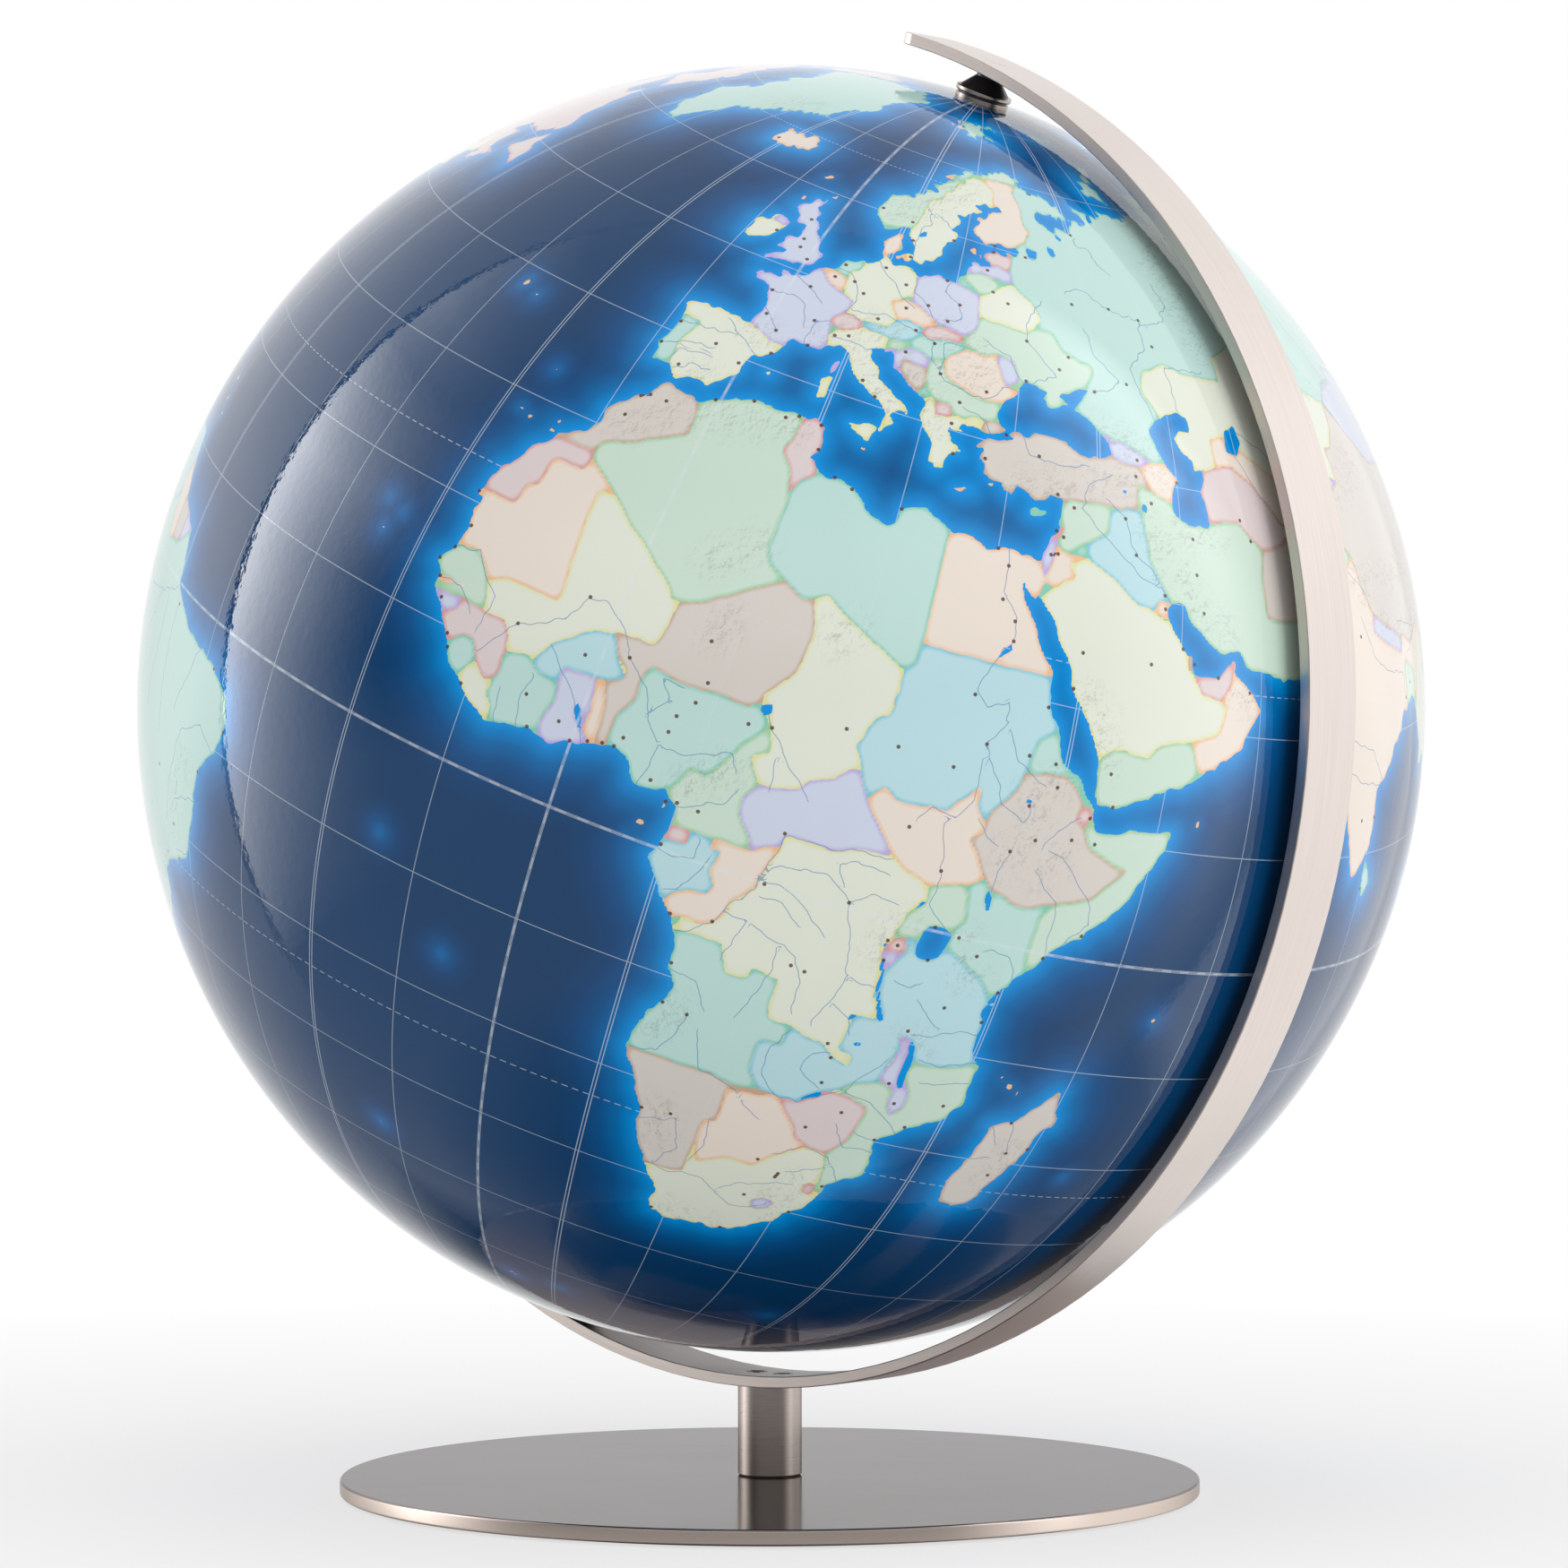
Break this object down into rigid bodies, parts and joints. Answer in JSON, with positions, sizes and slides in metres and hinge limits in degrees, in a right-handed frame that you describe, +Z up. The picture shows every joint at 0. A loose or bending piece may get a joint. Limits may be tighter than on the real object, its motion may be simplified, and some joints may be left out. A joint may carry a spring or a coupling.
{
  "type": "desktop globe on stand",
  "caption": "Desktop globe: a printed ball that turns on a tilted axle, held at both poles by a flat steel arc on a short post and a round base plate.",
  "frame": {"origin": "middle of the base's underside, on the surface that the globe stands on", "axes": "+Z up; the arc and the tilted axle lie in the XZ plane, with the north pole leaning towards +X"},
  "size_m": [0.347, 0.34, 0.3831],
  "materials": {
    "satin_steel": "satin brushed",
    "screw_steel": "plain",
    "axle_steel": "drawn",
    "foam_pad": "matte",
    "black_plastic": "moulded",
    "bearing_plastic": "turned",
    "nut_brass": "turned",
    "shell_acrylic": "gloss",
    "map_print": "printed, gloss"
  },
  "bodies": {
    "stand": {"base_pad": "foam_pad", "base_plate": "satin_steel", "post": "satin_steel", "post_bolt": "screw_steel", "meridian_arc": "satin_steel", "arc_screws": "screw_steel", "axle_rod": "axle_steel", "north_pivot_screw": "screw_steel", "north_cone_spacer": "black_plastic", "north_collar": "satin_steel", "south_pivot_screw": "screw_steel", "south_cone_spacer": "black_plastic", "south_collar": "satin_steel"},
    "globe": {"north_thrust_washer": "black_plastic", "north_pole_bush": "satin_steel", "north_bearing_sleeve": "bearing_plastic", "north_seat_washer": "bearing_plastic", "north_clamp_nut": "nut_brass", "north_hemisphere": "shell_acrylic", "south_thrust_washer": "black_plastic", "south_pole_bush": "satin_steel", "south_bearing_sleeve": "bearing_plastic", "south_seat_washer": "bearing_plastic", "south_clamp_nut": "nut_brass", "south_hemisphere": "shell_acrylic", "equator_ring": "shell_acrylic", "map_gore_01": "map_print", "map_gore_02": "map_print", "map_gore_03": "map_print", "map_gore_04": "map_print", "map_gore_05": "map_print", "map_gore_06": "map_print", "map_gore_07": "map_print", "map_gore_08": "map_print", "map_gore_09": "map_print", "map_gore_10": "map_print", "map_gore_11": "map_print", "map_gore_12": "map_print"}
  },
  "joints": [
    {"name": "globe_spin", "type": "hinge", "parent": "stand", "child": "globe", "pos_m": [0.00399, 0, 0.20812], "axis": [0.3987, 0, 0.9171], "continuous": true}
  ]
}
